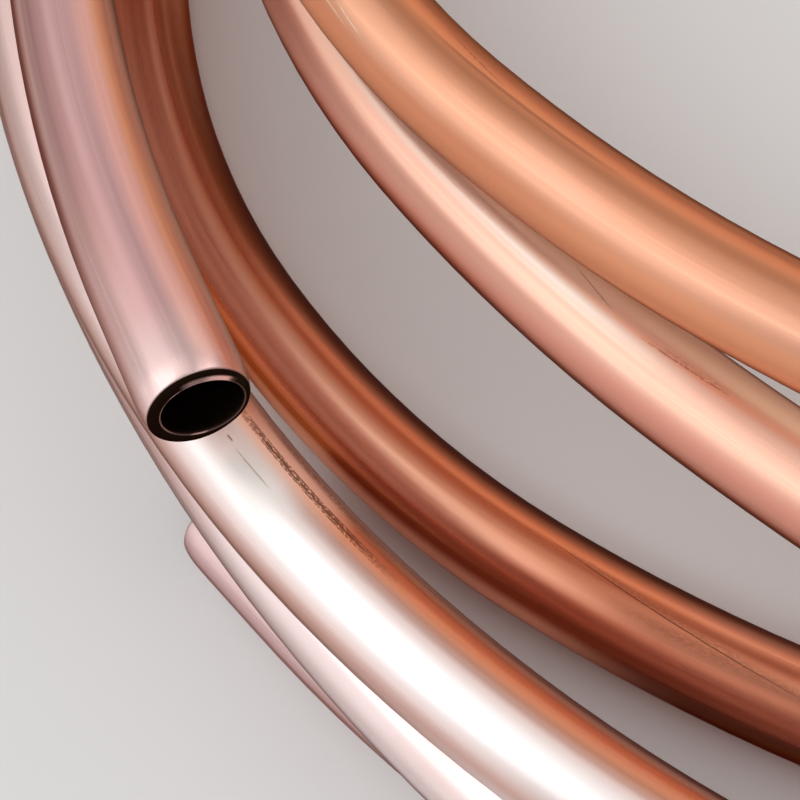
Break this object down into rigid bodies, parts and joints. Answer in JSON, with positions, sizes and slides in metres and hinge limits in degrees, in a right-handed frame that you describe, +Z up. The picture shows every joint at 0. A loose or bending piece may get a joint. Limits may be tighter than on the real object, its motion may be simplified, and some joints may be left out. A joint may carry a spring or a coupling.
{
  "type": "copper tube coil",
  "caption": "Loose coil of bare soft copper tube, wound in overlapping hoops and lying flat, with its plain cut ends left open.",
  "frame": {"origin": "on the floor, under the middle of the coil's outline", "axes": "+Z up along the coil's axis, -X towards the side where both ends come out"},
  "size_m": [0.3132, 0.3367, 0.0541],
  "materials": {
    "copper": "bright drawn copper, satin, with fine drawing lines along the tube"
  },
  "bodies": {
    "root": {"copper_tube": "copper"}
  },
  "joints": []
}
